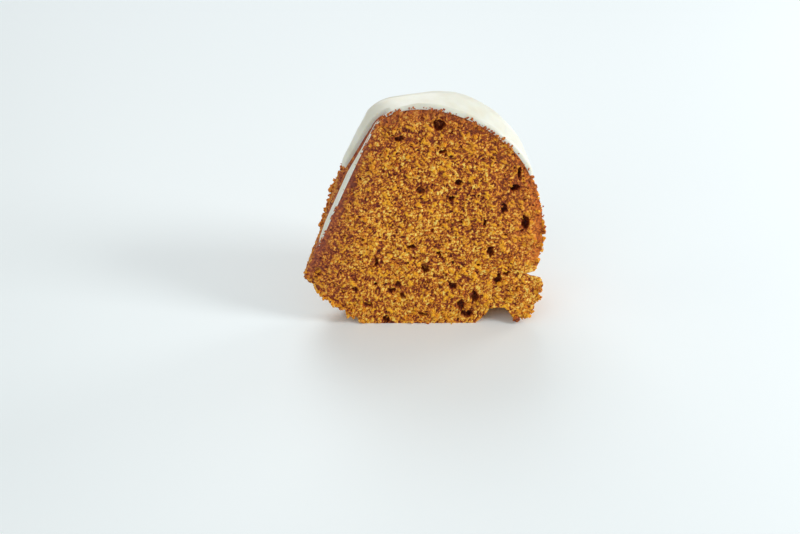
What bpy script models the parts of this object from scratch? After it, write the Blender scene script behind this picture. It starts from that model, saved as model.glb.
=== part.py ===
"""A slice of ring-baked pound cake with poured icing, standing on its base.

The front cut faces -Y, the hole of the ring is to the left and the fluted outer wall to the right.
Sizes below are in millimetres; MM turns them into metres.
"""

import math

import bmesh
import bpy
from mathutils import Vector, noise

MM = 0.001

# The ring that the slice was cut from
RING_AXIS_X = -72.0  # the middle of the ring, left of the slice
SLICE_ANGLE = math.radians(17.0)  # from the front cut to the back cut
LEAN = math.tan(math.radians(8.0))  # the slice leans back on its broken base
PLACE_X = 3.21  # moves the slice so that its box is centred over the origin
PLACE_Y = -21.13

# The front cut's outline, as (x, height): three Bezier curves and the broken base
INNER_WALL = ((-50.9, 20.9), (-41.0, 42.6), (-26.5, 73.0), (-19.8, 84.0))
CROWN = ((-19.8, 84.0), (-11.0, 94.3), (14.0, 91.3), (30.0, 76.1))
OUTER_WALL = ((30.0, 76.1), (42.0, 67.0), (48.0, 44.6), (43.0, 25.3))
FRONT_BASE = (
    (-50.9, 20.9), (-47.4, 19.8), (-44.7, 13.5), (-36.9, 8.0), (-32.4, 3.4), (-26.0, 0.0),
    (19.0, 0.0), (22.8, 3.8), (24.4, 6.4), (27.4, 7.0), (30.4, 6.8), (33.4, 3.4), (35.5, 2.2), (38.6, 2.2),
)
BACK_BASE = ((-50.9, 20.9), (-46.0, 12.0), (-38.0, 4.0), (-29.0, 0.0), (34.0, 0.0), (37.5, 1.0))
SECTION_CENTRE = (0.0, 45.0)
BASE_LEVEL_FROM = (-50.9, -40.0)  # the base stands level from the second of these x on
FRONT_BASE_FADE = (0.12, 0.55)  # over this share of the slice the front's base turns into the back's

# The lower right corner, from the base up to the outer wall: at the front a lump with a crack above it,
# and behind them a hollow where the cake has broken away
WALL_START = 0.16  # share of the right side below the outer wall
# The lump's foot, its right side, the crack's lower lip, its bottom and its upper lip, the wall
CORNER_ROWS = (0.0, 0.026, 0.0575, 0.109, 0.124, 0.135, 0.145, WALL_START)
FRONT_CORNER = (
    (38.6, 2.2), (42.3, 6.0), (44.1, 10.5), (45.7, 18.0), (44.9, 20.1), (37.3, 21.7), (42.4, 23.1), (43.0, 25.3),
)
BACK_CORNER = (
    (37.5, 1.0), (37.1, 5.0), (36.8, 9.7), (36.9, 16.5), (38.2, 19.6), (39.1, 21.3), (40.7, 22.9), (43.0, 25.3),
)
CORNER_FADE = (0.0, 0.15)
CORNER_START = 0.92  # share of the base's width from which its fade turns into the corner's
# Inside the section the broken edges straighten out: the rest that is left is a power of the share to the edge
CORNER_POWER = 12
BASE_POWER = 12

# The flutes that the tin pressed into the crown and the outer wall
FLUTE_DEPTH = 3.4
FLUTE_VALLEY = 0.27  # share of the slice from the front cut to the valley
FLUTE_PITCH = 1.0  # one flute in the width of the slice
FLUTES_ON_INNER_WALL = (44.0, 80.0)  # the flutes grow from nothing to full between these heights
FLUTES_ON_OUTER_WALL = (14.0, 34.0)
OUTER_SIDE = (-8.0, 22.0)  # and turn from one rule into the other between these x
BACK_RIDGE_RISE = 0.4  # the ridge behind the valley stands this much prouder
BACK_RIDGE_FADE = (0.4, 0.8)
SAG_PLACE = -4.5  # and is lower at this x, in the middle of the crown
SAG_HALF_WIDTH = 13.0
SAG_DEPTH = 1.9
SAG_FADE = (0.2, 0.7)
BULGE_PLACE = 57.0  # the inner wall swells at this height, behind the valley
BULGE_HALF_HEIGHT = 17.0
BULGE_DEPTH = 2.2
BULGE_FADE = (0.35, 0.75)

# Crumb relief and the large pores of the front cut: x, height, half width, half height, depth
CRUMB_COARSE = (3.4, 0.50)  # wavelength, height
CRUMB_FINE = (1.9, 0.35)
BASE_ROUGHNESS = 1.2  # relief of the underside and of the walls, against that of the cuts
WALL_ROUGHNESS = 0.5
PORES = (
    (4.1, 83.4, 2.1, 1.9, 2.6), (-11.1, 78.0, 1.6, 1.4, 1.4), (11.9, 60.5, 1.4, 1.3, 1.5),
    (-3.3, 56.9, 1.5, 1.3, 1.2), (33.5, 56.5, 1.5, 1.2, 1.6), (38.0, 43.7, 1.2, 2.3, 1.8),
    (24.3, 31.7, 1.4, 2.2, 1.5), (-1.6, 24.5, 1.8, 1.4, 2.0), (27.7, 19.6, 1.3, 2.2, 2.0),
    (18.3, 11.7, 1.2, 2.4, 2.0), (12.8, 8.1, 1.3, 1.8, 1.8), (-45.2, 23.4, 1.4, 1.4, 1.8),
)
CLEAR_OF_RIM = 0.22  # the walls stay smooth for this share of their height beyond the icing
RESTING_ZONE = (-30.0, 27.0)  # x range of the flat part of the underside
STANDS_ON = ((-27.5, -8.1), (25.3, 8.2), (-0.1, -21.1))  # the underside's three lowest spots, in the table's x and y
SPOT_REACH = 1.0
REST_HEIGHT = 0.2  # of all the rest of the underside, at the least

# Icing: how thick it is, and how far down each wall it runs, as the wall's own share from 0 to 1
ICING_GAP = 0.35
ICING_CROWN = 2.0
ICING_BACK_RIDGE = 2.7
ICING_SAG = 0.9  # thinner by this much where the crown sags
ICING_STRIP = 1.3
ICING_RIM = 0.5  # what is left of the thickness at the rounded rim
ICING_RIM_WIDTH = 3.0
THICKENS_ON_PATH = (0.5, 1.3)  # path: 0 to 1 up the inner wall, 1 to 2 over the crown, 2 to 3 down
THINS_ON_PATH = (1.9, 2.5)
WALL_LENGTH = 60.0  # about the length of one unit of path
STRIP_END = 0.20  # thin run along the front cut, on the inner wall
STRIP_WIDTH = 0.13
STRIP_FADE = 0.14  # share of the slice over which the strip's end climbs to the valley's
VALLEY_END = 0.97
LOBE_END = 0.60  # the rounded end of the ridge behind the valley
LOBE_FADE = (0.36, 0.58)
LOBE_LIFT = 0.09  # the ridge's end rises by this much at the back cut
LOBE_LIFT_FADE = (0.80, 1.0)
OUTER_END = 0.33  # on the outer wall, counted downwards
OUTER_DRIPS = ((0.36, 0.11, 0.20), (0.80, 0.14, 0.38))  # place, half width, extra run

# Grids: faces across the section and up it, and the cuts through the slice, closer where the icing's edge
# and the valley are
CUTS_ACROSS = 32
CUTS_UP = 30
ROWS_OVER_ICING = (12, 16, 12)  # on the inner wall, on the crown, on the outer wall
CUTS_THROUGH = (
    0.07, 0.12, 0.15, 0.18, 0.21, 0.24, 0.27, 0.31, 0.36, 0.42,
    0.48, 0.54, 0.60, 0.66, 0.71, 0.76, 0.81, 0.86, 0.90, 0.95,
)

CRUMB_COLOUR = (0.46, 0.20, 0.035, 1.0)
ICING_COLOUR = (0.83, 0.80, 0.69, 1.0)


def smooth(value, low, high):
    """0 below low, 1 above high, and a smooth step between."""
    share = min(1.0, max(0.0, (value - low) / (high - low)))
    return share * share * (3.0 - 2.0 * share)


def mix(first, second, share):
    return first + (second - first) * share


def bezier(points, share):
    """A point of a cubic Bezier curve in the section."""
    rest = 1.0 - share
    weights = (rest**3, 3 * rest**2 * share, 3 * rest * share**2, share**3)
    return Vector([sum(w * p[axis] for w, p in zip(weights, points)) for axis in (0, 1)])


def along(points, x):
    """Second value of a run of straight pieces at the first value x."""
    for (x0, z0), (x1, z1) in zip(points, points[1:]):
        if x <= x1:
            return mix(z0, z1, (x - x0) / (x1 - x0))
    return points[-1][1]


def depth_at(x, through):
    """Distance behind the front cut of a point that turns round the ring's axis."""
    return (x - RING_AXIS_X) * math.sin(SLICE_ANGLE * through)


def raised(point, through, share=1.0):
    """Lifts a point of the underside by what the lean takes away, so that the slice stands level."""
    levelled = share * smooth(point.x, *BASE_LEVEL_FROM)
    return Vector((point.x, point.y + levelled * LEAN * depth_at(point.x, through)))


def base_point(across, through):
    """The underside: craggy at the front cut, plainer behind it."""
    ends = []
    for points in (FRONT_BASE, BACK_BASE):
        x = mix(points[0][0], points[-1][0], across)
        ends.append(Vector((x, along(points, x))))
    in_corner = smooth(across, CORNER_START, 1.0)
    fade = [mix(base, corner, in_corner) for base, corner in zip(FRONT_BASE_FADE, CORNER_FADE)]
    return raised(ends[0].lerp(ends[1], smooth(through, *fade)), through)


def corner_point(up, through):
    """The lump and the crack at the front, the hollow behind them."""
    ends = []
    for points in (FRONT_CORNER, BACK_CORNER):
        ends.append(Vector([along(list(zip(CORNER_ROWS, axis)), up) for axis in zip(*points)]))
    return raised(ends[0].lerp(ends[1], smooth(through, *CORNER_FADE)), through, 1.0 - up / WALL_START)


def right_point(up, through):
    """The right side, from the lump's foot, past the crack and up the outer wall."""
    if up < WALL_START:
        return corner_point(up, through)
    return bezier(OUTER_WALL, (1.0 - up) / (1.0 - WALL_START))


def section_point(across, up, through):
    """A Coons patch between the sides of the cut, with the base and the corner as straight lines, plus their breaks."""
    left, right, base = bezier(INNER_WALL, up), right_point(up, through), base_point(across, through)
    foot = base_point(1.0, through)
    straight_base = base_point(0.0, through).lerp(foot, across)
    straight_right = foot.lerp(bezier(OUTER_WALL, 1.0), up / WALL_START) if up < WALL_START else right
    above_chord = bezier(CROWN, across) - bezier(CROWN, 0.0).lerp(bezier(CROWN, 1.0), across)
    patch = left.lerp(straight_right, across) + above_chord * up
    patch += (right - straight_right) * across**CORNER_POWER
    return patch + (base - straight_base) * (1.0 - up) ** BASE_POWER


def ridge(through):
    """Rounded ridges with narrow valleys between them: 0 in a valley, 1 on a crest."""
    turn = (through - FLUTE_VALLEY) / FLUTE_PITCH
    from_crest = 2.0 * (turn - math.floor(turn)) - 1.0
    crest = 1.0 - from_crest**2
    valley_floor = 0.12
    return math.sqrt(crest**2 + valley_floor**2) - valley_floor


def sag(x, through):
    """Share of the sag in the crown: full in its middle and behind the valley."""
    return math.exp(-(((x - SAG_PLACE) / SAG_HALF_WIDTH) ** 2)) * smooth(through, *SAG_FADE)


def bulge(height, through):
    """Share of the swelling of the inner wall."""
    return math.exp(-(((height - BULGE_PLACE) / BULGE_HALF_HEIGHT) ** 2)) * smooth(through, *BULGE_FADE)


def flute_push(point, through, edge):
    """How far a section point moves away from the section's centre."""
    from_left = smooth(point.y, *FLUTES_ON_INNER_WALL)
    from_right = smooth(point.y, *FLUTES_ON_OUTER_WALL)
    right_side = smooth(point.x, *OUTER_SIDE)
    weight = mix(from_left, from_right, right_side)
    rise = FLUTE_DEPTH * (ridge(through) - ridge(0.0))
    rise += BACK_RIDGE_RISE * smooth(through, *BACK_RIDGE_FADE)
    rise -= SAG_DEPTH * sag(point.x, through)
    direction = (point - Vector(SECTION_CENTRE)).normalized()
    swelling = BULGE_DEPTH * bulge(point.y, through) * (1.0 - right_side)
    return direction * ((rise * weight + swelling) * edge**2)


def place(point, through, edge=1.0):
    """Carries a point of the front section round the ring, presses the flutes and leans the cuts."""
    moved = point + flute_push(point, through, edge)
    depth = depth_at(moved.x, through)
    across_ring = (moved.x - RING_AXIS_X) * math.cos(SLICE_ANGLE * through)
    return Vector((
        RING_AXIS_X + across_ring + PLACE_X,
        depth + LEAN * moved.y + PLACE_Y,
        max(0.0, moved.y - LEAN * depth),
    ))


def icing_range(through):
    """Where the icing starts on the inner wall and ends on the outer one, along the path 0 to 3."""
    start = mix(STRIP_END, VALLEY_END, smooth(through, STRIP_WIDTH, STRIP_WIDTH + STRIP_FADE))
    start = mix(start, LOBE_END, smooth(through, *LOBE_FADE))
    start += LOBE_LIFT * smooth(through, *LOBE_LIFT_FADE)
    end = 2.0 + OUTER_END
    for middle, half_width, run in OUTER_DRIPS:
        end += run / (1.0 + ((through - middle) / half_width) ** 4)
    return start, end


def wall_point(path):
    """The outline over the top: 0 to 1 up the inner wall, 1 to 2 the crown, 2 to 3 down the outer wall."""
    curve = min(2, int(path))
    return bezier((INNER_WALL, CROWN, OUTER_WALL)[curve], path - curve)


def wall_normal(path):
    step = 0.01
    tangent = wall_point(min(3.0, path + step)) - wall_point(max(0.0, path - step))
    return Vector((-tangent.y, tangent.x)).normalized()


def icing_path(over, through):
    """Path place of one icing row: each stretch keeps its own rows, so the crown's rows stay level."""
    start, end = icing_range(through)
    inner, crown, outer = ROWS_OVER_ICING
    row = over * (inner + crown + outer)
    if row <= inner:
        return mix(start, 1.0, row / inner)
    if row <= inner + crown:
        return 1.0 + (row - inner) / crown
    return mix(2.0, end, (row - inner - crown) / outer)


def icing_thickness(path, through):
    """Full on the crown, thin in the strip, rounded down to a rim at both ends."""
    start, end = icing_range(through)
    full = mix(ICING_CROWN, ICING_BACK_RIDGE, smooth(through, *BACK_RIDGE_FADE))
    full -= ICING_SAG * sag(wall_point(path).x, through)
    full = mix(ICING_STRIP, full, smooth(path, *THICKENS_ON_PATH))
    full = mix(full, ICING_STRIP, smooth(path, *THINS_ON_PATH))
    from_rim = min(path - start, end - path) * WALL_LENGTH
    share = min(1.0, from_rim / ICING_RIM_WIDTH)
    return mix(ICING_RIM, full, math.sqrt(max(0.0, 1.0 - (1.0 - share) ** 2)))


def icing_point(over, through, outer):
    path = icing_path(over, through)
    lift = ICING_GAP + outer * icing_thickness(path, through)
    return place(wall_point(path) + wall_normal(path) * lift, through)


def even(count):
    """Places of the cuts that make count equal shares."""
    return [step / count for step in range(1, count)]


def cuts_up():
    """Rows up the section: the corner's own, then even."""
    return list(CORNER_ROWS[1:]) + [row for row in even(CUTS_UP) if row > WALL_START + 0.02]


def cut_block(*cuts):
    """A unit cube from 0 to 1, cut into a grid by planes across each axis."""
    block = bmesh.new()
    bmesh.ops.create_cube(block, size=1.0)
    bmesh.ops.translate(block, verts=block.verts, vec=(0.5, 0.5, 0.5))
    for axis, places in enumerate(cuts):
        normal = Vector((0, 0, 0))
        normal[axis] = 1.0
        for share in places:
            geometry = block.verts[:] + block.edges[:] + block.faces[:]
            bmesh.ops.bisect_plane(block, geom=geometry, plane_co=normal * share, plane_no=normal)
    return block


def crumb_relief(spot):
    """Uneven crumb: two layers of noise, in millimetres."""
    relief = 0.0
    for layer, (wavelength, height) in enumerate((CRUMB_COARSE, CRUMB_FINE)):
        relief += height * noise.noise(spot / wavelength + Vector((7.0 * layer, 3.0 * layer, 5.0 * layer)))
    return relief


def pore_depth(section):
    depth = 0.0
    for x, height, half_width, half_height, full_depth in PORES:
        away = ((section.x - x) / half_width) ** 2 + ((section.y - height) / half_height) ** 2
        depth = max(depth, full_depth * max(0.0, 1.0 - away / 2.0))
    return depth


def under_icing(across, up, through):
    """Whether this point of the wall is under the icing or close to its rim."""
    start, end = icing_range(through)
    on_inner = across == 0.0 and up > start - CLEAR_OF_RIM
    on_outer = across == 1.0 and 2.0 + (1.0 - up) / (1.0 - WALL_START) < end + CLEAR_OF_RIM
    return up == 1.0 or on_inner or on_outer


def relief_at(across, up, through, section, spot):
    """How far the surface stands out at one point of the cake, in millimetres."""
    cut_face = through in (0.0, 1.0)
    if under_icing(across, up, through):
        return 0.0
    if up == 0.0:
        resting = RESTING_ZONE[0] < section.x < RESTING_ZONE[1]
        return 0.0 if resting else BASE_ROUGHNESS * crumb_relief(spot)
    if across in (0.0, 1.0):
        return WALL_ROUGHNESS * crumb_relief(spot)
    relief = crumb_relief(spot) if cut_face else 0.0
    return relief - (pore_depth(section) if through == 0.0 else 0.0)


def make_object(name, mesh_data, colour, roughness):
    mesh = bpy.data.meshes.new(name)
    mesh_data.to_mesh(mesh)
    mesh_data.free()
    material = bpy.data.materials.new(name)
    material.use_nodes = True
    shader = material.node_tree.nodes["Principled BSDF"]
    shader.inputs["Base Color"].default_value = colour
    shader.inputs["Roughness"].default_value = roughness
    mesh.materials.append(material)
    mesh.shade_smooth()
    mesh.set_sharp_from_angle(angle=math.radians(40.0))
    made = bpy.data.objects.new(name, mesh)
    return made


def make_cake():
    """The crumb and its crust in one solid, with the relief of both cuts."""
    block = cut_block(even(CUTS_ACROSS), cuts_up(), CUTS_THROUGH)
    layer = block.verts.layers.float_vector.new("grid_place")
    for vert in block.verts:
        across, up, through = (round(value, 6) for value in vert.co)
        vert[layer] = (across, up, through)
        edge = max(abs(2 * across - 1), abs(2 * up - 1))
        vert.co = place(section_point(across, up, through), through, edge)
    # The block's second axis becomes height and its third depth, which turns its faces inwards
    bmesh.ops.reverse_faces(block, faces=block.faces)
    block.normal_update()
    moves = []
    for vert in block.verts:
        across, up, through = (round(value, 6) for value in vert[layer])
        section = section_point(across, up, through)
        height = relief_at(across, up, through, section, vert.co)
        moves.append((vert, vert.normal * height))
    for vert, move in moves:
        vert.co += move
        on_spot = any((vert.co.xy - Vector(spot)).length < SPOT_REACH for spot in STANDS_ON)
        vert.co.z = max(0.0 if on_spot else REST_HEIGHT, vert.co.z)
    bmesh.ops.scale(block, verts=block.verts, vec=(MM, MM, MM))
    return make_object("cake", block, CRUMB_COLOUR, 0.85)


def make_icing():
    """The poured icing: a skin over the crown that runs down both walls."""
    block = cut_block(even(sum(ROWS_OVER_ICING)), CUTS_THROUGH)
    for vert in block.verts:
        vert.co = icing_point(vert.co.x, vert.co.y, vert.co.z) * MM
    block.normal_update()
    return make_object("icing", block, ICING_COLOUR, 0.35)


def main():
    for old in list(bpy.data.objects):
        bpy.data.objects.remove(old)
    slice_parts = bpy.data.collections.new("pound_cake_slice")
    bpy.context.scene.collection.children.link(slice_parts)
    for made in (make_cake(), make_icing()):
        slice_parts.objects.link(made)


main()
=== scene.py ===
"""A slice of iced ring pound cake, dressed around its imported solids.

Shapes are worked out in millimetres and turned into metres when a mesh is made.
The front cut faces -Y, and a place in the slice has three shares: across the cut, up it, and through the slice.
"""
import math

import bmesh
import bpy
import numpy as np
from mathutils import Matrix, Vector


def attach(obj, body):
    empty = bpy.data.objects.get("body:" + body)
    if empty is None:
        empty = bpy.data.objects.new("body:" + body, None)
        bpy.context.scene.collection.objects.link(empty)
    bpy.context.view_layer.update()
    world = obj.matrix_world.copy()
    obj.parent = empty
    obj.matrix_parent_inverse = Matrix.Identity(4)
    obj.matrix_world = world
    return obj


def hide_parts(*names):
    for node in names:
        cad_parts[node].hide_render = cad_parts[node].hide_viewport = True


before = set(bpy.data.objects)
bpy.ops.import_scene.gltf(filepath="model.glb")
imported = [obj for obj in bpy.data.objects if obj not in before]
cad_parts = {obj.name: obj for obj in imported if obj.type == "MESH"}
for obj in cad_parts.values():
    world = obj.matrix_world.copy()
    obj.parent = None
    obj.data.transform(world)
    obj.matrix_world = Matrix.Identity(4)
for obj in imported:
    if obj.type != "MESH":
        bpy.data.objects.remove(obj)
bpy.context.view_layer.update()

MM = 0.001
SEED = 4172

# The slice's own sizes, in millimetres, as in the solids
RING_AXIS_X = -72.0
SLICE_ANGLE = math.radians(17.0)
LEAN = math.tan(math.radians(8.0))
PLACE_X = 3.21
PLACE_Y = -21.13
INNER_WALL = ((-50.9, 20.9), (-41.0, 42.6), (-26.5, 73.0), (-19.8, 84.0))
CROWN = ((-19.8, 84.0), (-11.0, 94.3), (14.0, 91.3), (30.0, 76.1))
OUTER_WALL = ((30.0, 76.1), (42.0, 67.0), (48.0, 44.6), (43.0, 25.3))
FRONT_BASE = (
    (-50.9, 20.9), (-47.4, 19.8), (-44.7, 13.5), (-36.9, 8.0), (-32.4, 3.4), (-26.0, 0.0),
    (19.0, 0.0), (22.8, 3.8), (24.4, 6.4), (27.4, 7.0), (30.4, 6.8), (33.4, 3.4), (35.5, 2.2), (38.6, 2.2),
)
BACK_BASE = ((-50.9, 20.9), (-46.0, 12.0), (-38.0, 4.0), (-29.0, 0.0), (34.0, 0.0), (37.5, 1.0))
SECTION_CENTRE = (0.0, 45.0)
BASE_LEVEL_FROM = (-50.9, -40.0)
FRONT_BASE_FADE = (0.12, 0.55)
WALL_START = 0.16
CORNER_ROWS = (0.0, 0.026, 0.0575, 0.109, 0.124, 0.135, 0.145, WALL_START)
FRONT_CORNER = (
    (38.6, 2.2), (42.3, 6.0), (44.1, 10.5), (45.7, 18.0), (44.9, 20.1), (37.3, 21.7), (42.4, 23.1), (43.0, 25.3),
)
BACK_CORNER = (
    (37.5, 1.0), (37.1, 5.0), (36.8, 9.7), (36.9, 16.5), (38.2, 19.6), (39.1, 21.3), (40.7, 22.9), (43.0, 25.3),
)
CORNER_FADE = (0.0, 0.15)
CORNER_START = 0.92
CORNER_POWER, BASE_POWER = 12, 12
FLUTE_DEPTH = 3.4
FLUTE_VALLEY = 0.27
FLUTES_ON_INNER_WALL = (44.0, 80.0)
FLUTES_ON_OUTER_WALL = (14.0, 34.0)
OUTER_SIDE = (-8.0, 22.0)
BACK_RIDGE_RISE = 0.4
BACK_RIDGE_FADE = (0.4, 0.8)
SAG_PLACE, SAG_HALF_WIDTH, SAG_DEPTH, SAG_FADE = -4.5, 13.0, 1.9, (0.2, 0.7)
BULGE_PLACE, BULGE_HALF_HEIGHT, BULGE_DEPTH, BULGE_FADE = 57.0, 17.0, 2.2, (0.35, 0.75)
ICING_CROWN = 2.0
ICING_BACK_RIDGE = 2.7
ICING_SAG = 0.9
ICING_STRIP = 1.3
THICKENS_ON_PATH = (0.5, 1.3)
THINS_ON_PATH = (1.9, 2.5)
STRIP_END, STRIP_WIDTH, STRIP_FADE = 0.20, 0.13, 0.14
VALLEY_END = 1.14
LOBE_END, LOBE_FADE, LOBE_LIFT, LOBE_LIFT_FADE = 0.60, (0.42, 0.62), 0.09, (0.80, 1.0)
OUTER_END = 0.33
OUTER_DRIPS = ((0.36, 0.11, 0.20), (0.80, 0.14, 0.38))
WALL_LENGTH = 60.0

# The scene's icing: how far it is sunk in the cake, its round edge, and how far it hangs over a cut, as a share
ICING_SUNK = -0.35
ICING_SKIN = 0.25
ICING_EDGE = 1.7
ICING_RIM = 2.6
ICING_OVERHANG = 0.010
# Its thickness along the front cut: thin up the inner wall, with one thicker run, and full on the crown
STRIP_PATH = (0.20, 0.30, 0.47, 0.60, 0.70, 0.78, 0.93, 1.06, 1.2, 1.4)
STRIP_THICKNESS = (0.5, 0.9, 1.2, 1.8, 1.2, 0.75, 0.45, 0.5, 1.2, 2.0)
STRIP_BLEND = (0.12, 0.26)

# The large pores of the front cut: x, height, half width, half height, depth
PORES = (
    (4.1, 83.4, 2.6, 2.2, 3.6), (-11.1, 78.0, 1.7, 1.2, 2.0), (11.9, 60.5, 1.4, 1.2, 2.2),
    (-3.3, 57.2, 2.0, 1.6, 1.8), (33.4, 58.2, 1.9, 1.4, 2.8), (35.0, 64.0, 0.9, 2.3, 2.2),
    (38.0, 43.9, 1.5, 3.0, 3.0), (24.3, 31.7, 1.5, 2.6, 2.6), (-1.6, 24.5, 2.1, 1.6, 3.0),
    (27.7, 19.4, 1.5, 2.4, 2.8), (31.0, 22.0, 1.8, 1.0, 2.2), (18.3, 11.9, 1.3, 2.8, 2.8),
    (12.8, 8.1, 1.4, 2.2, 2.4), (15.6, 4.2, 2.7, 1.7, 3.0), (-45.2, 23.4, 1.6, 1.4, 2.4),
    (9.0, 54.0, 1.0, 0.9, 1.9), (-18.0, 1.6, 1.5, 1.6, 2.6), (-13.0, 17.5, 1.3, 1.9, 1.8),
    (4.2, 31.0, 0.9, 0.8, 1.8), (9.6, 16.7, 1.9, 1.3, 2.6), (-21.2, 27.6, 0.9, 2.3, 1.8),
    (-22.0, 17.8, 0.9, 0.9, 1.8), (-15.3, 15.0, 1.6, 1.3, 2.2), (-10.8, 12.4, 1.1, 1.5, 2.2),
    (-6.8, 33.6, 2.0, 0.8, 1.9), (29.5, 50.0, 0.9, 2.4, 2.0), (-30.0, 15.4, 1.6, 1.0, 1.6),
    (20.0, 26.0, 0.9, 0.7, 1.6), (-25.5, 8.5, 2.4, 1.2, 2.0), (6.0, 73.0, 2.0, 0.9, 1.8),
    (-3.0, 4.0, 2.0, 0.9, 1.8), (22.0, 44.0, 0.8, 1.4, 1.6),
)

# Grids of the cake: cells across and up a cut, of which the corner's own, and rows of the walls
CELLS_ACROSS = 280
CORNER_CELLS = (0, 10, 20, 36, 42, 60, 72, 80)
CELLS_IN_CORNER = CORNER_CELLS[-1]
CELLS_ABOVE_CORNER = 200
CELLS_UP = CELLS_IN_CORNER + CELLS_ABOVE_CORNER
ACROSS_LINE = np.linspace(0.0, 1.0, CELLS_ACROSS + 1)
UP_LINE = np.concatenate([
    np.interp(np.arange(CELLS_IN_CORNER + 1), CORNER_CELLS, CORNER_ROWS),
    np.linspace(WALL_START, 1.0, CELLS_ABOVE_CORNER + 1)[1:],
])
FRONT_ROWS, MIDDLE_ROWS, BACK_ROWS = 12, 52, 12
FRONT_SHARE, BACK_SHARE = 0.16, 0.84
# Grid of the icing: rows up to the shoulder, over the crown and down the outer wall, and columns through it
ICING_ROWS = (110, 124, 84)
SHOULDER = 1.3
ICING_COLUMNS = 118

# Crumbs that stick to a cut, and tints of the crust on the inner wall, the crown and the outer wall; the outer wall's
# tint is lighter and more orange, partly painted glow of light from behind
CRUMBS_ON_CUT = 460
CRUST_LEFT = (0.44, 0.135, 0.080)
CRUST_TOP = (0.56, 0.165, 0.050)
CRUST_RIGHT_AND_GLOW = (0.90, 0.31, 0.065)


def smooth(value, low, high):
    """0 below low, 1 above high, and a smooth step between."""
    share = np.clip((value - low) / (high - low), 0.0, 1.0)
    return share * share * (3.0 - 2.0 * share)


def mix(first, second, share):
    """The first value at share 0, the second at share 1, and a straight line between."""
    return first + (second - first) * share


def bezier(points, share):
    """x and height of a cubic Bezier curve at a share of its length."""
    rest = 1.0 - share
    weights = (rest**3, 3 * rest**2 * share, 3 * rest * share**2, share**3)
    return tuple(sum(w * p[axis] for w, p in zip(weights, points)) for axis in (0, 1))


def depth_at(x, through):
    """Distance behind the front cut of a point that turns round the ring's axis."""
    return (x - RING_AXIS_X) * np.sin(SLICE_ANGLE * through)


def raised(x, height, through, share=1.0):
    """Lifts the underside by what the lean takes away, so that the slice stands level."""
    return height + share * smooth(x, *BASE_LEVEL_FROM) * LEAN * depth_at(x, through)


def base_line(across, through):
    """The underside: the front cut's broken line turns into the back cut's."""
    ends = []
    for points in (FRONT_BASE, BACK_BASE):
        x = mix(points[0][0], points[-1][0], across)
        ends.append((x, np.interp(x, *zip(*points))))
    in_corner = smooth(across, CORNER_START, 1.0)
    low, high = (mix(base, corner, in_corner) for base, corner in zip(FRONT_BASE_FADE, CORNER_FADE))
    fade = smooth(through, low, high)
    x, height = (mix(front, back, fade) for front, back in zip(*ends))
    return x, raised(x, height, through)


def corner_line(up, through):
    """The lump and the crack at the front, the recess behind them."""
    fade = smooth(through, *CORNER_FADE)
    x, height = (
        mix(np.interp(up, CORNER_ROWS, front), np.interp(up, CORNER_ROWS, back), fade)
        for front, back in zip(zip(*FRONT_CORNER), zip(*BACK_CORNER))
    )
    return x, raised(x, height, through, 1.0 - up / WALL_START)


def right_line(up, through):
    """The right side, from the lump's foot, past the crack and up the outer wall."""
    wall = bezier(OUTER_WALL, np.clip((1.0 - up) / (1.0 - WALL_START), 0.0, 1.0))
    corner = corner_line(up, through)
    return tuple(np.where(up < WALL_START, low, high) for low, high in zip(corner, wall))


def section(across, up, through):
    """x and height in a Coons patch between the cut's sides, whose broken edges straighten out inside it."""
    left, right, base = bezier(INNER_WALL, up), right_line(up, through), base_line(across, through)
    top, start = bezier(CROWN, across), base_line(np.zeros_like(up), through)
    foot = base_line(np.ones_like(up), through)
    found = []
    for axis in (0, 1):
        straight_base = mix(start[axis], foot[axis], across)
        in_corner = mix(foot[axis], OUTER_WALL[-1][axis], up / WALL_START)
        straight_right = np.where(up < WALL_START, in_corner, right[axis])
        above_chord = top[axis] - mix(CROWN[0][axis], CROWN[-1][axis], across)
        patch = mix(left[axis], straight_right, across) + above_chord * up
        patch = patch + (right[axis] - straight_right) * across**CORNER_POWER
        found.append(patch + (base[axis] - straight_base) * (1.0 - up) ** BASE_POWER)
    return found


def ridge(through):
    """Rounded ridge with a narrow valley: the root of crest squared plus valley floor squared."""
    turn = through - FLUTE_VALLEY
    from_crest = 2.0 * (turn - np.floor(turn)) - 1.0
    crest = 1.0 - from_crest**2
    valley_floor = 0.12
    return np.sqrt(crest**2 + valley_floor**2) - valley_floor


def sag(x, through):
    """A hollow in the crown: a bell curve across it, faded in behind the front cut."""
    return np.exp(-(((x - SAG_PLACE) / SAG_HALF_WIDTH) ** 2)) * smooth(through, *SAG_FADE)


def flute_push(x, height, through, edge):
    """How far a section point moves away from the section's centre, in x and in height."""
    right_side = smooth(x, *OUTER_SIDE)
    weight = mix(smooth(height, *FLUTES_ON_INNER_WALL), smooth(height, *FLUTES_ON_OUTER_WALL), right_side)
    rise = FLUTE_DEPTH * (ridge(through) - ridge(np.zeros(1)))
    rise = rise + BACK_RIDGE_RISE * smooth(through, *BACK_RIDGE_FADE) - SAG_DEPTH * sag(x, through)
    swelling = np.exp(-(((height - BULGE_PLACE) / BULGE_HALF_HEIGHT) ** 2)) * smooth(through, *BULGE_FADE)
    push = (rise * weight + BULGE_DEPTH * swelling * (1.0 - right_side)) * edge**2
    away_x, away_height = x - SECTION_CENTRE[0], height - SECTION_CENTRE[1]
    length = np.maximum(np.hypot(away_x, away_height), 1e-6)
    return push * away_x / length, push * away_height / length


def place(x, height, through, edge=1.0):
    """Carries a section point round the ring, presses the flutes and leans the cuts."""
    push_x, push_height = flute_push(x, height, through, edge)
    x, height = x + push_x, height + push_height
    depth = depth_at(x, through)
    across_ring = (x - RING_AXIS_X) * np.cos(SLICE_ANGLE * through)
    return np.stack([
        RING_AXIS_X + across_ring + PLACE_X,
        depth + LEAN * height + PLACE_Y,
        np.maximum(0.0, height - LEAN * depth),
    ], axis=-1)


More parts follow.
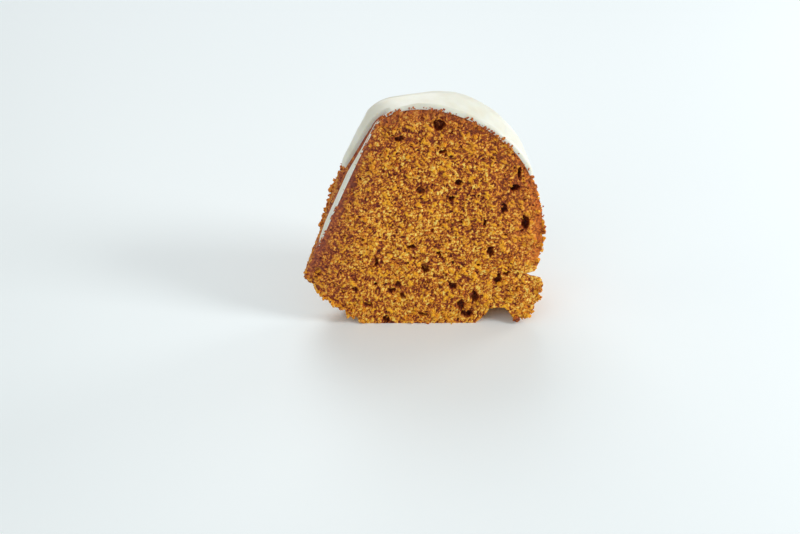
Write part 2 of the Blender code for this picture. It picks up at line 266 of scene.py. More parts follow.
def cake_surface(across, up, through):
    """Place in the slice for shares across, up and through."""
    across, up, through = np.broadcast_arrays(across, up, through)
    edge = np.maximum(np.abs(2 * across - 1), np.abs(2 * up - 1))
    return place(*section(across, up, through), through, edge)


def unit(vectors):
    """Vectors divided by their own lengths."""
    return vectors / np.maximum(np.linalg.norm(vectors, axis=-1, keepdims=True), 1e-9)


def chance(cells, seed):
    """A number from 0 to 1 for each whole-number cell: the bits of the cell are mixed and kept."""
    cells = cells.astype(np.int64)
    bits = cells[..., 0] * 374761393 + cells[..., 1] * 668265263 + cells[..., 2] * 1440670441 + seed * 974634777
    bits &= 0xFFFFFFFF
    bits = ((bits ^ (bits >> 13)) * 1274126177) & 0xFFFFFFFF
    bits = ((bits ^ (bits >> 15)) * 2246822519) & 0xFFFFFFFF
    return (bits ^ (bits >> 16)) / 4294967296.0


def drift(points, seed):
    """Smooth noise from -1 to 1: chances at the eight corners of a cell, blended by smooth steps."""
    cell = np.floor(points)
    share = points - cell
    share = share * share * (3.0 - 2.0 * share)
    total = np.zeros(points.shape[:-1])
    for corner in np.ndindex(2, 2, 2):
        weight = np.prod(np.where(corner, share, 1.0 - share), axis=-1)
        total += weight * chance(cell + corner, seed)
    return 2.0 * total - 1.0


def nearest_cells(points, seed):
    """Distance to the nearest jittered cell centre, and that cell's chance."""
    cell = np.floor(points)
    first = np.full(points.shape[:-1], 9.0)
    number = np.zeros_like(first)
    for corner in np.ndindex(3, 3, 3):
        spot = cell + np.array(corner) - 1
        jitter = np.stack([chance(spot, seed + axis) for axis in (1, 2, 3)], axis=-1)
        away = np.linalg.norm(spot + 0.1 + 0.8 * jitter - points, axis=-1)
        nearer = away < first
        number = np.where(nearer, chance(spot, seed + 4), number)
        first = np.where(nearer, away, first)
    return first, number


def bubble_depth(points, seed, smallest, largest, share):
    """Depth of round bubbles that the surface cuts: the root of radius squared less distance squared."""
    cell = np.floor(points)
    depth = np.zeros(points.shape[:-1])
    for corner in np.ndindex(3, 3, 3):
        spot = cell + np.array(corner) - 1
        jitter = np.stack([chance(spot, seed + axis) for axis in (1, 2, 3)], axis=-1)
        away = np.linalg.norm(spot + jitter - points, axis=-1)
        radius = mix(smallest, largest, chance(spot, seed + 4) ** 3) * (chance(spot, seed + 5) < share)
        depth = np.maximum(depth, np.sqrt(np.maximum(0.0, radius**2 - away**2)))
    return depth


def crumb(points):
    """Height of the crumb in millimetres, its painted shade in pits, its colour value with painted highlight and
    shade, and its golden share, partly painted highlight, at points in the slice.

    Swells, plus domed grains, less the bubbles of four sizes that the surface cuts, all on bent coordinates.
    """
    bend = 0.45 * np.stack([drift(points / 1.6, SEED + 11 * axis) for axis in (1, 2, 3)], axis=-1)
    bend += 0.25 * np.stack([drift(points / 0.7, SEED + 13 * axis) for axis in (4, 5, 6)], axis=-1)
    bent = points + bend
    swell = 0.40 * drift(points / 4.5, SEED + 1) + 0.26 * drift(points / 2.1, SEED + 2)
    near, grain = nearest_cells(bent / 1.25, SEED + 20)
    dome = np.maximum(0.0, 1.0 - (near / 0.62) ** 2)
    fine = bubble_depth(bent / 0.92, SEED + 40, 0.12, 0.56, 0.95) * 0.92
    finest = bubble_depth(bent / 0.50, SEED + 45, 0.20, 0.55, 0.85) * 0.50
    middling = bubble_depth((points + 1.5 * bend) / 1.7, SEED + 55, 0.04, 0.40, 0.62) * 1.7
    wide = bubble_depth((points + 2.2 * bend) / 2.7, SEED + 50, 0.05, 0.36, 0.5) * 2.7
    height = swell + 0.34 * dome - 1.0 * fine - 0.9 * finest - 1.1 * middling - 1.2 * wide
    # Painted shade: how much the crumb is darkened in its bubbles and pits
    pit_shade = np.clip(1.9 * (fine - 0.14) + 1.3 * middling + 1.2 * wide, 0.0, 1.0)
    # Golden flakes lie in the crumb, raised and lighter, partly painted highlight: most slope down to the right, a
    # few the other way
    gold_and_highlight = np.zeros_like(height)
    wavy = points + 1.5 * bend
    for turn, (slope, share) in enumerate(((-0.64, 0.56), (0.80, 0.28))):
        run = math.sqrt(1.0 - slope**2)
        along, over = run * wavy[..., 0] + slope * wavy[..., 2], run * wavy[..., 2] - slope * wavy[..., 0]
        turned = np.stack([0.42 * along, 0.9 * wavy[..., 1], 1.05 * over], axis=-1)
        close, lucky = nearest_cells(turned / 1.9, SEED + 60 + 7 * turn)
        gold_and_highlight = np.maximum(gold_and_highlight, (1.0 - smooth(close, 0.24, 0.40)) * (lucky < share))
    gold_and_highlight *= 1.0 - smooth(pit_shade, 0.25, 0.7)
    height += 0.42 * gold_and_highlight
    # Painted light: lighter on the domed tops of grains and darker in small bubbles, besides the random change from
    # grain to grain
    tone_and_painted_light = 0.555 + 0.54 * (dome - 0.4) + 0.50 * (grain - 0.5) - 1.5 * fine - 2.5 * finest
    tone_and_painted_light += 0.10 * drift(points / 8.0, SEED + 3) + 0.10 * drift(points / 2.6, SEED + 4)
    return height, pit_shade, np.clip(tone_and_painted_light, 0.0, 1.0), gold_and_highlight


def pore_depth(x, height, warp):
    """The large pores: a bowl within a bent oval, in section x and height."""
    depth = np.zeros_like(x)
    for pore_x, pore_height, half_width, half_height, full_depth in PORES:
        away_x = (x - pore_x + warp[..., 0]) / half_width
        away_height = (height - pore_height + warp[..., 1]) / half_height
        away = away_x**2 + away_height**2
        depth = np.maximum(depth, full_depth * np.maximum(0.0, 1.0 - away**1.5))
    return depth


def icing_range(through):
    """Where the icing starts on the inner wall and ends on the outer one, along the path 0 to 3."""
    start = mix(STRIP_END, VALLEY_END, smooth(through, STRIP_WIDTH, STRIP_WIDTH + STRIP_FADE))
    start = mix(start, LOBE_END, smooth(through, *LOBE_FADE)) + LOBE_LIFT * smooth(through, *LOBE_LIFT_FADE)
    end = 2.0 + OUTER_END
    for middle, half_width, run in OUTER_DRIPS:
        end = end + run / (1.0 + ((through - middle) / half_width) ** 4)
    return start, end


def cut_features(across, up, through):
    """Relief, tones and crust of one cut, on a grid of points across and up it."""
    base = cake_surface(across, up, through)
    x, height = section(across, up, np.full_like(across, through))
    rise, pit_shade, tone_and_painted_light, gold_and_highlight = crumb(base)
    # The back cut was not seen: it has the front's pores, turned upside down
    warp = np.stack([drift(base / 1.3, SEED + 70), drift(base / 1.3, SEED + 71)], axis=-1) * 0.75
    pores = pore_depth(x, height, warp) if through == 0.0 else pore_depth(2.0 - x, 90.0 - height, warp)
    inside = smooth(pores, 0.05, 0.9)
    rise = mix(rise, 0.35 * rise, inside) - pores
    # The large pores get painted shade as well
    pit_shade = np.maximum(pit_shade, smooth(pores, 0.1, 1.1))
    gold_and_highlight = gold_and_highlight * (1.0 - inside)
    right = right_line(up, np.full_like(up, through))[0]
    left = bezier(INNER_WALL, up)[0]
    from_left, from_right = across * (right - left), (1.0 - across) * (right - left)
    from_top = bezier(CROWN, across)[1] - height
    patchy = 1.0 + 0.5 * drift(base / 2.2, SEED + 80)
    # Under the crust the crumb is browner for a good way in
    crust_left, crust_top, crust_and_glow_right = (
        np.maximum((1.0 - smooth(away, 0.5, width * patchy)) * share, under * (1.0 - smooth(away, 4.0, 24.0)))
        for away, width, share, under in (
            (from_left, 8.0, 0.9, 0.26), (from_top, 8.0, 0.8, 0.26), (from_right, 7.0, 0.9, 0.34),
        )
    )
    # The right band's tint is partly a painted glow of light from behind
    crust_and_glow_right = crust_and_glow_right * smooth(up, 0.12, 0.24)
    # Painted light: within about 9 mm of the right edge the lower half is lighter, above all on the lump, as if lit
    # from behind; the crumb is also darker within about 30 mm of the right edge above the lump, and half as much near
    # the crown and the inner wall
    painted_backlight = (1.0 - smooth(from_right, 1.0, 9.0)) * (1.0 - smooth(up, 0.42, 0.58))
    darker = (1.0 - smooth(from_right, 6.0, 30.0)) * smooth(up, 0.32, 0.50)
    darker = np.maximum(darker, 0.5 * (1.0 - smooth(np.minimum(from_top, from_left), 5.0, 26.0)))
    tone_and_painted_light = np.clip(tone_and_painted_light + 0.22 * painted_backlight - 0.13 * darker, 0.0, 1.0)
    # The tip of the inner wall is a bare, closed crust
    closed = np.maximum(crust_left, 0.5 * crust_top)
    rise, pit_shade, gold_and_highlight = rise * (1.0 - 0.5 * closed), pit_shade * (1.0 - 0.6 * closed), gold_and_highlight * (1.0 - 0.9 * closed)
    return base, rise, pit_shade, tone_and_painted_light, gold_and_highlight, (crust_left, crust_top, crust_and_glow_right)


def crust_mix(tints):
    """Share of crust, and its colour as the mean of the three tints by their shares."""
    total = np.maximum(sum(tints), 1e-6)
    colour = sum(
        tint[..., None] * np.array(paint) for tint, paint in zip(tints, (CRUST_LEFT, CRUST_TOP, CRUST_RIGHT_AND_GLOW))
    )
    return np.clip(np.maximum.reduce(tints), 0.0, 1.0), colour / total[..., None]


def rim_of_grid():
    """Grid places round the rim of a cut: base to the right, up the right side, crown to the left, down."""
    across = np.concatenate([
        np.arange(CELLS_ACROSS), np.full(CELLS_UP, CELLS_ACROSS),
        np.arange(CELLS_ACROSS, 0, -1), np.zeros(CELLS_UP, int),
    ])
    up = np.concatenate([
        np.zeros(CELLS_ACROSS, int), np.arange(CELLS_UP),
        np.full(CELLS_ACROSS, CELLS_UP), np.arange(CELLS_UP, 0, -1),
    ])
    return across, up


def wall_features(across, up, through):
    """Relief, tones and crust of the walls, in rows through the slice and columns round the rim."""
    base = cake_surface(across, up, through)
    rise, pit_shade, tone_and_painted_light, gold_and_highlight = crumb(base)
    on_base, on_right, on_left = up == 0.0, across == 1.0, across == 0.0
    start, end = icing_range(through)
    path_right = 2.0 + (1.0 - up) / (1.0 - WALL_START)
    outside = np.where(on_left, start - up, np.where(on_right, path_right - end, -1.0)) * WALL_LENGTH
    outside = np.where(on_base, 9.0, outside)
    bare = smooth(outside, 0.0, 2.0)
    ragged = up + 0.025 * drift(base / 4.0, SEED + 103)
    broken = np.where(on_right, 1.0 - smooth(ragged, 0.14, 0.19), np.where(on_base, 1.0, 0.0))
    section_x = section(across, up, through)[0]
    from_cut = np.minimum(through, 1.0 - through) * (section_x - RING_AXIS_X) * SLICE_ANGLE
    # Behind the icing's strip the inner wall has broken to open crumb from the back cut inwards
    reach = np.where(on_left & (through > 0.5), 5.5, 0.9)
    torn = np.exp(-((from_cut / reach) ** 2))
    rough = np.where(on_left, 0.30, np.where(on_right, 0.62, 0.0))
    rough = mix(np.maximum(rough, torn), 1.15, broken) * bare
    # Broken edges have crags; the crack and the arch under the lump keep clear of them
    craggy = np.where(on_right, 0.2 + 0.8 * (1.0 - smooth(up, 0.18, 0.38)), np.where(on_base, 1.0, 0.0))
    crag = 0.75 * drift(base / 2.2, SEED + 101) + 0.55 * drift(base / 1.0, SEED + 102)
    rise = (rise - 0.12) * rough + crag * craggy * bare
    opening = (on_right & (up > 0.118) & (up < 0.150)) | (on_base & (section_x > 20.0) & (section_x < 42.0))
    rise = np.where(opening & (through < 0.6), 0.5 * np.minimum(rise, 0.0), rise)
    resting = on_base & (base[..., 2] < 0.05)
    rise = np.where(resting, np.minimum(0.0, -0.2 * pit_shade), rise)
    pit_shade = pit_shade * np.clip(rough * 1.2, 0.0, 1.0)
    gold_and_highlight = gold_and_highlight * np.clip(rough, 0.0, 1.0)
    crusted = (1.0 - broken) * mix(0.95, 0.3, torn)
    # The outer wall takes the right tint, partly a painted glow of light from behind
    tints = (
        crusted * np.where(on_left, 1.0, 0.0),
        crusted * np.where(on_right, 0.75, np.where(on_left | on_base, 0.0, 1.0)),
        crusted * np.where(on_right, 0.3 + 0.5 * torn, 0.0),
    )
    return base, rise, pit_shade, tone_and_painted_light, gold_and_highlight, tints


def grid_normals(points, first_axis, second_axis):
    """Unit cross product of the slopes along two axes of a grid."""
    return unit(np.cross(np.gradient(points, axis=first_axis), np.gradient(points, axis=second_axis)))


def ring_normals(walls):
    """As grid_normals, with columns that close round the rim; rows run through the slice."""
    along = np.roll(walls, -1, axis=1) - np.roll(walls, 1, axis=1)
    return unit(np.cross(np.gradient(walls, axis=0), along))


def make_cake_surfaces():
    """All points of the cake with their tones: both cuts as grids, and the walls as rings between them."""
    through_line = np.concatenate([
        np.linspace(0.0, FRONT_SHARE, FRONT_ROWS + 1),
        np.linspace(FRONT_SHARE, BACK_SHARE, MIDDLE_ROWS + 1)[1:],
        np.linspace(BACK_SHARE, 1.0, BACK_ROWS + 1)[1:],
    ])
    across, up = np.meshgrid(ACROSS_LINE, UP_LINE, indexing="ij")
    rim = rim_of_grid()
    ring_across, ring_up, ring_through = np.broadcast_arrays(
        across[rim][None, :], up[rim][None, :], through_line[:, None]
    )
    walls = wall_features(ring_across, ring_up, ring_through)
    wall_normals = ring_normals(walls[0])
    cuts = []
    for row, through, outward in ((0, 0.0, 1.0), (-1, 1.0, -1.0)):
        cut = cut_features(across, up, through)
        normals = outward * grid_normals(cut[0], 0, 1)
        wall_normals[row] = unit(wall_normals[row] + normals[rim])
        points = cut[0] + normals * cut[1][..., None]
        cuts.append((points, cut))
    ring_points = walls[0] + wall_normals * walls[1][..., None]
    ring_points[..., 2] = np.maximum(ring_points[..., 2], 0.0)
    surfaces = []
    for row, (points, cut) in zip((0, -1), cuts):
        points[..., 2] = np.maximum(points[..., 2], 0.0)
        points[rim] = ring_points[row]
        surfaces.append((points, cut[2], cut[3], cut[4]) + crust_mix(cut[5]))
    rings = (ring_points, walls[2], walls[3], walls[4]) + crust_mix(walls[5])
    return surfaces[0], rings, surfaces[1], rim


def quads_between(first, second):
    """Faces between two closed loops of point numbers."""
    return np.stack([first, second, np.roll(second, -1), np.roll(first, -1)], axis=-1)


def cake_piece(rings, cut, rim, cut_is_front, lids):
    """Points, faces and tones of one closed piece: rings, a cut at one end or none, and a hidden lid elsewhere."""
    rows, around = rings[0].shape[:2]
    fields = [field.reshape((rows * around,) + field.shape[2:]) for field in rings]
    loops = np.arange(rows * around).reshape(rows, around)
    faces = [quads_between(loops[row], loops[row + 1]) for row in range(rows - 1)]
    triangles = []
    if cut is not None:
        numbers = np.full((CELLS_ACROSS + 1, CELLS_UP + 1), -1)
        numbers[rim] = loops[0 if cut_is_front else -1]
        inner = np.zeros(numbers.shape, bool)
        inner[1:-1, 1:-1] = True
        numbers[inner] = len(fields[0]) + np.arange(inner.sum())
        fields = [np.concatenate([field, extra[inner]]) for field, extra in zip(fields, cut)]
        cells = np.stack(
            [numbers[:-1, :-1], numbers[1:, :-1], numbers[1:, 1:], numbers[:-1, 1:]], axis=-1
        ).reshape(-1, 4)
        faces.append(cells if cut_is_front else cells[:, ::-1])
    for front_lid in lids:
        loop = loops[0 if front_lid else -1]
        rim_points = fields[0][loop]
        centre = rim_points.mean(axis=0)
        inward = np.array([0.0, 0.6 if front_lid else -0.6, 0.0])
        for shrink in (0.94, 0.6):
            start = len(fields[0])
            points = mix(centre, rim_points, shrink) + inward
            fields[0] = np.concatenate([fields[0], points])
            fields[1:] = [np.concatenate([field, field[loops[0]]]) for field in fields[1:]]
            inner_loop = np.arange(start, start + around)
            faces.append(quads_between(inner_loop, loop) if front_lid else quads_between(loop, inner_loop))
            loop = inner_loop
        fields[0] = np.concatenate([fields[0], (centre + inward)[None]])
        fields[1:] = [np.concatenate([field, field[:1]]) for field in fields[1:]]
        tip = np.full(around, len(fields[0]) - 1)
        fan = np.stack([tip, loop, np.roll(loop, -1)], axis=-1)
        triangles.append(fan[:, ::-1] if not front_lid else fan)
    return fields, np.concatenate(faces), np.concatenate(triangles)


def new_piece(name, points, faces, material, sharp_angle=None):
    """A mesh object in metres that rides on the slice; faces are lists of point numbers."""
    mesh = bpy.data.meshes.new(name)
    mesh.from_pydata((points * MM).tolist(), [], faces)
    mesh.materials.append(material)
    mesh.shade_smooth()
    if sharp_angle is not None:
        mesh.set_sharp_from_angle(angle=math.radians(sharp_angle))
    piece = bpy.data.objects.new(name, mesh)
    bpy.context.scene.collection.objects.link(piece)
    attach(piece, "root")
    return piece


def keep_values(piece, name, values):
    """Stores one number or one colour for each point of the piece."""
    if values.ndim == 1:
        layer = piece.data.attributes.new(name, "FLOAT", "POINT")
        layer.data.foreach_set("value", values.astype(np.float32))
    else:
        layer = piece.data.color_attributes.new(name, "FLOAT_COLOR", "POINT")
        full = np.concatenate([values, np.ones((len(values), 1))], axis=1)
        layer.data.foreach_set("color", full.astype(np.float32).ravel())


def keep_tones(piece, pit_shade, tone_and_painted_light, gold_and_highlight, crust, tint):
    """The five values that the crumb's material reads, one of each for a point."""
    for name, values in (("pit_shade", pit_shade), ("tone_and_painted_light", tone_and_painted_light), ("gold_and_highlight", gold_and_highlight), ("crust", crust), ("crust_tint", tint)):
        keep_values(piece, name, values)


def make_cake(material):
    """The cake in three closed pieces that meet inside: the front cut, the middle and the back cut."""
    front, rings, back, rim = make_cake_surfaces()
    seam, back_seam = FRONT_ROWS, FRONT_ROWS + MIDDLE_ROWS
    parts = (
        ("cake_front_cut", slice(0, seam + 1), front, True, (False,)),
        ("cake_middle", slice(seam, back_seam + 1), None, True, (True, False)),
        ("cake_back_cut", slice(back_seam, None), back, False, (True,)),
    )
    for name, rows, cut, cut_is_front, lids in parts:
        fields, faces, triangles = cake_piece([field[rows] for field in rings], cut, rim, cut_is_front, lids)
        piece = new_piece(name, fields[0], faces.tolist() + triangles.tolist(), material, 70.0)
        keep_tones(piece, *fields[1:])
        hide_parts("cake")
    return front, rings, back


def ball_of_faces():
    """Points and triangles of a ball of 80 faces and unit radius."""
    ball = bmesh.new()
    bmesh.ops.create_icosphere(ball, subdivisions=2, radius=1.0)
    points = np.array([vert.co for vert in ball.verts])
    faces = np.array([[vert.index for vert in face.verts] for face in ball.faces])
    ball.free()
    return points, faces


def random_turns(count, draw):
    """Turning matrices from random unit quaternions."""
    w, x, y, z = unit(draw.normal(size=(count, 4))).T
    return np.stack([
        np.stack([1 - 2 * (y * y + z * z), 2 * (x * y - z * w), 2 * (x * z + y * w)], axis=-1),
        np.stack([2 * (x * y + z * w), 1 - 2 * (x * x + z * z), 2 * (y * z - x * w)], axis=-1),
        np.stack([2 * (x * z - y * w), 2 * (y * z + x * w), 1 - 2 * (x * x + y * y)], axis=-1),
    ], axis=-2)


def scatter_crumbs(name, spots, normals, radii, material, draw, golden=0.3, crust=0.0, tint=CRUST_RIGHT_AND_GLOW):
    """Angular crumbs half sunk in the surface: a ball's points pushed in and out, stretched and turned."""
    ball, triangles = ball_of_faces()
    count = len(spots)
    lumps = ball[None] * (1.0 + 0.36 * draw.uniform(-1.0, 1.0, (count, len(ball), 1)))
    lumps = lumps * draw.uniform(0.45, 1.35, (count, 1, 3))
    lumps = np.einsum("nij,nkj->nki", random_turns(count, draw), lumps)
    points = lumps * radii[:, None, None] + (spots + normals * radii[:, None] * 0.25)[:, None, :]
    points[..., 2] = np.maximum(points[..., 2], 0.02)
    faces = triangles[None] + len(ball) * np.arange(count)[:, None, None]
    piece = new_piece(name, points.reshape(-1, 3), faces.reshape(-1, 3).tolist(), material, 35.0)
    total = count * len(ball)
    # Each crumb's points get a little painted pit shade, at random
    pit_shade = draw.uniform(0.0, 0.25, total)
    tone_and_painted_light = np.clip(np.repeat(draw.uniform(0.38, 0.85, count), len(ball)) + draw.uniform(-0.1, 0.1, total), 0, 1)
    # Some crumbs are golden, partly painted highlight
    gold_and_highlight = np.repeat((draw.uniform(size=count) < golden) * draw.uniform(0.5, 1.0, count), len(ball))
    keep_tones(piece, pit_shade, tone_and_painted_light, gold_and_highlight, np.full(total, crust), np.tile(np.array(tint), (total, 1)))


def make_crumbs(front, back, rings, material):
    """Loose-edged crumbs that stand on the cuts and along their edges."""
    draw = np.random.default_rng(SEED)
    for name, cut, outward in (("front_crumbs", front, 1.0), ("back_crumbs", back, -1.0)):
        points = cut[0]
        normals = outward * grid_normals(points, 0, 1)
        across, up = np.meshgrid(ACROSS_LINE, UP_LINE, indexing="ij")
        weight = 0.16 + 1.6 * np.exp(-up / 0.05) + 1.3 * np.exp(-(1 - across) / 0.035) + 0.9 * np.exp(-across / 0.02)
        weight += 1.2 * (across > 0.88) * (up < 0.15)
        weight *= cut[1] < 0.5
        # None hangs into the arch or the crack
        weight[(across > 0.79) & (across < 0.97) & (up < 0.03)] = 0.0
        weight[(across > 0.88) & (up > 0.105) & (up < 0.155)] = 0.0
        weight[(across > 0.96) & (up > 0.42)] *= 0.15
        weight[(across > 0.985) & (up > 0.75)] = 0.0
        weight[(across < 0.05) & (up > 0.04)] = 0.0
        weight[up > 0.97] = 0.0
        chosen = draw.choice(points[..., 0].size, CRUMBS_ON_CUT, replace=False, p=(weight / weight.sum()).ravel())
        spots = points.reshape(-1, 3)[chosen]
        facing = normals.reshape(-1, 3)[chosen]
        radii = 0.28 + 0.75 * draw.uniform(size=len(spots)) ** 2.5
        scatter_crumbs(name, spots, facing, radii, material, draw)
    # Browned crumbs stick out along the crust of the crown and the outer wall
    ring_points = rings[0]
    around = ring_points.shape[1]
    top_start = CELLS_ACROSS + CELLS_UP
    columns = top_start + draw.integers(-int(0.68 * CELLS_UP), CELLS_ACROSS, 150)
    spots = ring_points[0, columns] + draw.normal(0.0, 0.35, (len(columns), 3))
    facing = np.tile(unit(np.array([0.0, -1.0, -0.4])), (len(columns), 1))
    radii = 0.2 + 0.6 * draw.uniform(size=len(columns)) ** 2
    scatter_crumbs("top_edge_crumbs", spots, facing, radii, material, draw, 0.0, 0.8, CRUST_TOP)
    # Larger golden lumps break the outline: along the base on the left, on the lump and up the outer wall
    runs = ((14, 76, 32), (264, CELLS_ACROSS + 38, 16), (CELLS_ACROSS + 84, CELLS_ACROSS + 145, 24))
    columns = np.concatenate([draw.integers(first, last, count) for first, last, count in runs])
    normals = ring_normals(ring_points[:6])[0]
    spots = ring_points[0, columns] + draw.normal(0.0, 0.25, (len(columns), 3))
    radii = 0.45 + 0.75 * draw.uniform(size=len(columns)) ** 1.6
    scatter_crumbs("outline_lumps", spots, normals[columns], radii, material, draw, 0.6)
    # Crumbs roughen the back edge of the inner wall below the icing
    left_start = 2 * CELLS_ACROSS + CELLS_UP
    columns = draw.integers(left_start + int(0.26 * CELLS_UP), left_start + int(0.62 * CELLS_UP), 90) % around
    spots = ring_points[-1 - draw.integers(0, 14, len(columns)), columns]
    spots = spots + draw.uniform(-0.3, 0.3, (len(columns), 3))
    facing = np.tile(unit(np.array([-1.0, 0.1, 0.4])), (len(columns), 1))
    scatter_crumbs("rear_edge_crumbs", spots, facing, draw.uniform(0.3, 0.8, len(columns)), material, draw, 0.3, 0.35)


def wall_outline(path):
    """x, height and outward direction over the top: 0 to 1 inner wall, 1 to 2 crown, 2 to 3 outer wall."""
    def outline(at):
        """x and height on the three curves, chosen by the whole part of the path."""
        at = np.clip(at, 0.0, 3.0)
        curve = np.minimum(np.floor(at), 2)
        runs = [bezier(points, at - number) for number, points in enumerate((INNER_WALL, CROWN, OUTER_WALL))]
        return [np.choose(curve.astype(int), [run[axis] for run in runs]) for axis in (0, 1)]
    step = 0.02
    x, height = outline(path)
    (x0, height0), (x1, height1) = outline(path - step), outline(path + step)
    length = np.maximum(np.hypot(x1 - x0, height1 - height0), 1e-9)
    return x, height, -(height1 - height0) / length, (x1 - x0) / length


def icing_surface(path, through, lift):
    """A point that stands off the outline by lift, carried to its place in the slice."""
    x, height, normal_x, normal_height = wall_outline(path)
    return place(x + normal_x * lift, height + normal_height * lift, through)


def icing_lift(path, through, start, end):
    """Thickness of the icing, round at its front and back edge and at both rims."""
    full = mix(ICING_CROWN, ICING_BACK_RIDGE, smooth(through, *BACK_RIDGE_FADE))
    full = full - ICING_SAG * sag(wall_outline(path)[0], through)
    full = mix(ICING_STRIP, full, smooth(path, *THICKENS_ON_PATH))
    full = mix(full, ICING_STRIP, smooth(path, *THINS_ON_PATH))
    strip = np.interp(path, STRIP_PATH, STRIP_THICKNESS)
    full = np.where(path < STRIP_PATH[-1], mix(strip, full, smooth(through, *STRIP_BLEND)), full) - ICING_SUNK
    spot = icing_surface(path, through, 0.0)
    full = full * (1.0 + 0.09 * drift(spot / 9.0, SEED + 90) + 0.05 * drift(spot / 3.3, SEED + 91))
    radius = wall_outline(path)[0] - RING_AXIS_X
    from_cut = (np.minimum(through, 1.0 - through) + ICING_OVERHANG) * radius * SLICE_ANGLE
    from_rim = np.minimum(path - start, end - path) * WALL_LENGTH
    roundness = 1.0
    for distance, width in ((from_cut, ICING_EDGE), (from_rim, ICING_RIM)):
        share = np.clip(distance / width, 0.0, 1.0)
        roundness = roundness * np.sqrt(np.maximum(0.0, 1.0 - (1.0 - share) ** 2))
    return full * roundness


def make_icing(material):
    """The poured icing: an outer sheet over a sunk inner one, joined round all four edges."""
    share = np.linspace(0.0, 1.0, ICING_COLUMNS + 1)
    # Columns lie closer together towards both cuts, where the edge is round
    through = 0.5 - 0.5 * np.cos(math.pi * share)
    through = mix(share, through, 0.75) * (1.0 + 2 * ICING_OVERHANG) - ICING_OVERHANG
    held = np.clip(through, 0.0, 1.0)
    wave = 0.012 * drift(np.stack([held * 9.0, held * 0, held * 0], axis=-1), SEED + 95)
    start, end = icing_range(held)
    start, end = start + wave, end - wave
    inner, crown, outer = ICING_ROWS
    rows = np.arange(sum(ICING_ROWS) + 1)[:, None]
    path = np.where(
        rows <= inner, mix(start, SHOULDER, rows / inner),
        np.where(
            rows <= inner + crown, mix(SHOULDER, 2.0, (rows - inner) / crown),
            mix(2.0, end, (rows - inner - crown) / outer),
        ),
    )
    through = np.broadcast_to(through, path.shape)
    top = icing_surface(path, through, ICING_SUNK + icing_lift(path, through, start, end))
    under = icing_surface(path, through, np.full(path.shape, ICING_SUNK) - ICING_SKIN)
    numbers = np.arange(path.size).reshape(path.shape)
    quads = np.stack(
        [numbers[:-1, :-1], numbers[:-1, 1:], numbers[1:, 1:], numbers[1:, :-1]], axis=-1
    ).reshape(-1, 4)
    rim = np.concatenate([numbers[0, :-1], numbers[:-1, -1], numbers[-1, :0:-1], numbers[:0:-1, 0]])
    side = np.stack([rim, rim + path.size, np.roll(rim, -1) + path.size, np.roll(rim, -1)], axis=-1)
    faces = np.concatenate([quads, quads[:, ::-1] + path.size, side])
    points = np.concatenate([top.reshape(-1, 3), under.reshape(-1, 3)])
    piece = new_piece("poured_icing", points, faces.tolist(), material)
    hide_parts("icing")


def nodes_of(name):
    """A new material with its nodes, links and shader."""
    material = bpy.data.materials.new(name)
    material.use_nodes = True
    tree = material.node_tree
    return material, tree.nodes, tree.links, tree.nodes["Principled BSDF"]


def noise_node(nodes, links, scale, detail=3.0, roughness=0.6):
    """Noise over the object's own coordinates, in metres."""
    where = nodes.new("ShaderNodeTexCoord")
    noise = nodes.new("ShaderNodeTexNoise")
    noise.inputs["Scale"].default_value = scale
    noise.inputs["Detail"].default_value = detail
    noise.inputs["Roughness"].default_value = roughness
    links.new(where.outputs["Object"], noise.inputs["Vector"])
    return noise.outputs["Fac"]


def attribute_node(nodes, name, output="Fac"):
    node = nodes.new("ShaderNodeAttribute")
    node.attribute_name = name
    return node.outputs[output]


def math_node(nodes, links, operation, first, second):
    node = nodes.new("ShaderNodeMath")
    node.operation = operation
    for socket, value in zip(node.inputs, (first, second)):
        if isinstance(value, (int, float)):
            socket.default_value = value
        else:
            links.new(value, socket)
    return node.outputs[0]


def ramp_node(nodes, links, factor, stops):
    ramp = nodes.new("ShaderNodeValToRGB")
    ramp.color_ramp.elements.remove(ramp.color_ramp.elements[1])
    for number, (position, colour) in enumerate(stops):
        stop = ramp.color_ramp.elements[0] if number == 0 else ramp.color_ramp.elements.new(position)
        stop.position = position
        stop.color = (*colour, 1.0)
    links.new(factor, ramp.inputs["Fac"])
    return ramp.outputs["Color"]


def mix_colours(nodes, links, factor, first, second, blend="MIX"):
    node = nodes.new("ShaderNodeMix")
    node.data_type = "RGBA"
    node.blend_type = blend
    for socket, value in ((node.inputs[0], factor), (node.inputs[6], first), (node.inputs[7], second)):
        if isinstance(value, tuple):
            socket.default_value = (*value, 1.0)
        elif isinstance(value, float):
            socket.default_value = value
        else:
            links.new(value, socket)
    return node.outputs[2]


def bump_node(nodes, links, height, strength, distance):
    bump = nodes.new("ShaderNodeBump")
    bump.inputs["Strength"].default_value = strength
    bump.inputs["Distance"].default_value = distance
    links.new(height, bump.inputs["Height"])
    return bump.outputs["Normal"]


